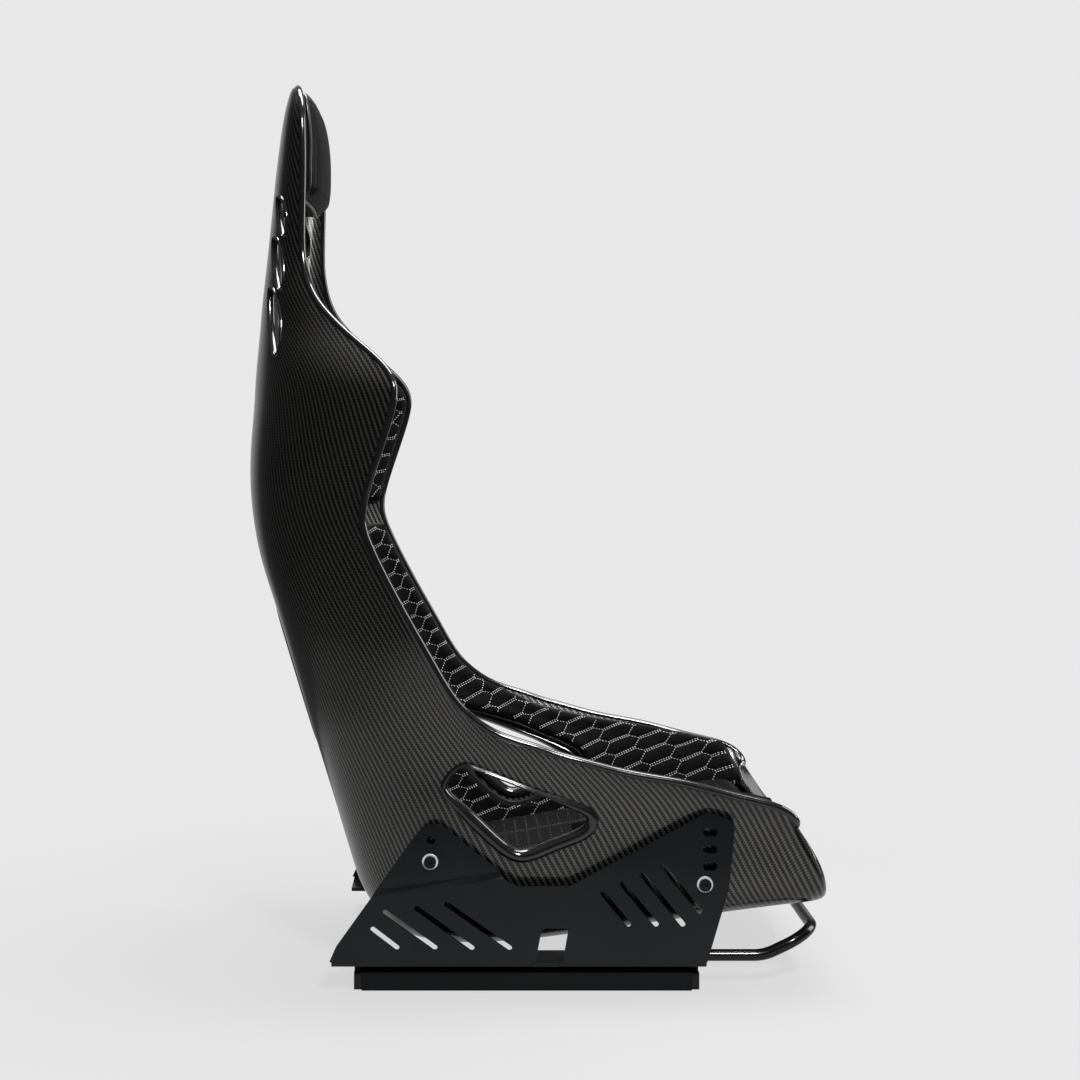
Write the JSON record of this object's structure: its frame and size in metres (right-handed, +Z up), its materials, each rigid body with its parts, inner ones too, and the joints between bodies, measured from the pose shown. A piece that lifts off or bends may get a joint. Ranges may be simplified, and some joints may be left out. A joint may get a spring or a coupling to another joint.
{
  "type": "racing seat",
  "caption": "Fixed-back bucket racing seat: glossy carbon shell, quilted pads, harness and lap-belt openings, bent side brackets on slide rails with a front release bar.",
  "frame": {"origin": "on the floor, under the middle of the seat's bounding box", "axes": "+X is the way the sitter faces, +Y the sitter's left, +Z up"},
  "size_m": [0.633, 0.5068, 0.981],
  "materials": {
    "carbon": "clear-coated 2x2 twill carbon fibre, gloss",
    "bezel": "gloss black",
    "quilt": "black microsuede quilted with silver thread",
    "perforated": "black perforated leather",
    "head_leather": "smooth black leather with piping",
    "hook_tape": "hook-and-loop tape",
    "bracket_paint": "satin black powder coat on steel",
    "rail_paint": "satin black",
    "cap_plastic": "moulded black plastic",
    "bar_paint": "gloss black powder coat",
    "zinc_steel": "bright zinc",
    "black_steel": "black oxide",
    "alloy": "turned",
    "cage_brass": "pressed sheet",
    "ball_steel": "polished"
  },
  "bodies": {
    "rails": {"lower_rail_left": "rail_paint", "lower_rail_right": "rail_paint", "rail_end_stops": "zinc_steel", "rail_end_caps": "cap_plastic"},
    "seat": {"shell": "carbon", "lap_bezel_left": "bezel", "lap_bezel_right": "bezel", "harness_bezels_left": "bezel", "harness_bezels_right": "bezel", "back_vent_bezel": "bezel", "strap_slot_bezel": "bezel", "mount_inserts": "cage_brass", "head_pad": "head_leather", "shoulder_pad": "quilt", "back_pad": "quilt", "bolster_pad_left": "quilt", "bolster_pad_right": "quilt", "seat_cushion": "perforated", "hook_patches": "hook_tape", "side_bracket_left": "bracket_paint", "side_bracket_right": "bracket_paint", "side_spacers": "alloy", "side_washers": "zinc_steel", "side_bolts": "black_steel", "flange_screws": "black_steel", "flange_nuts": "zinc_steel", "upper_rail_left": "rail_paint", "upper_rail_right": "rail_paint", "travel_stops": "zinc_steel", "pawl_pins": "zinc_steel", "pawl_springs": "zinc_steel", "bar_hinge_ears": "rail_paint", "bar_pins": "zinc_steel", "bar_springs": "zinc_steel"},
    "cage_left": {"ball_cage_left": "cage_brass", "rail_balls_left": "ball_steel"},
    "cage_right": {"ball_cage_right": "cage_brass", "rail_balls_right": "ball_steel"},
    "pawl_left": {"latch_pawl_left": "zinc_steel"},
    "pawl_right": {"latch_pawl_right": "zinc_steel"},
    "bar": {"release_bar": "bar_paint", "bar_lever_left": "bar_paint", "bar_lever_right": "bar_paint"}
  },
  "joints": [
    {"name": "seat_slide", "type": "slide", "parent": "rails", "child": "seat", "axis": [1, 0, 0], "range_m": [-0.084, 0.084]},
    {"name": "cage_left_roll", "type": "slide", "parent": "rails", "child": "cage_left", "axis": [1, 0, 0], "range_m": [-0.042, 0.042]},
    {"name": "cage_right_roll", "type": "slide", "parent": "rails", "child": "cage_right", "axis": [1, 0, 0], "range_m": [-0.042, 0.042]},
    {"name": "bar_lift", "type": "hinge", "parent": "seat", "child": "bar", "pos_m": [0.164, 0, 0.037], "axis": [0, -1, 0], "range_deg": [0, 6], "stiffness_Nm_per_rad": 3, "springref_deg": -8.59},
    {"name": "pawl_left_lift", "type": "hinge", "parent": "seat", "child": "pawl_left", "pos_m": [0.04, 0.176, 0.015], "axis": [0, 1, 0], "range_deg": [0, 10.5]},
    {"name": "pawl_right_lift", "type": "hinge", "parent": "seat", "child": "pawl_right", "pos_m": [0.04, -0.176, 0.015], "axis": [0, 1, 0], "range_deg": [0, 10.5]}
  ],
  "couplings": [
    {"joint": "cage_left_roll", "follows": "seat_slide", "ratio": 0.5},
    {"joint": "cage_right_roll", "follows": "seat_slide", "ratio": 0.5},
    {"joint": "pawl_left_lift", "follows": "bar_lift", "ratio": 1.75},
    {"joint": "pawl_right_lift", "follows": "bar_lift", "ratio": 1.75}
  ]
}
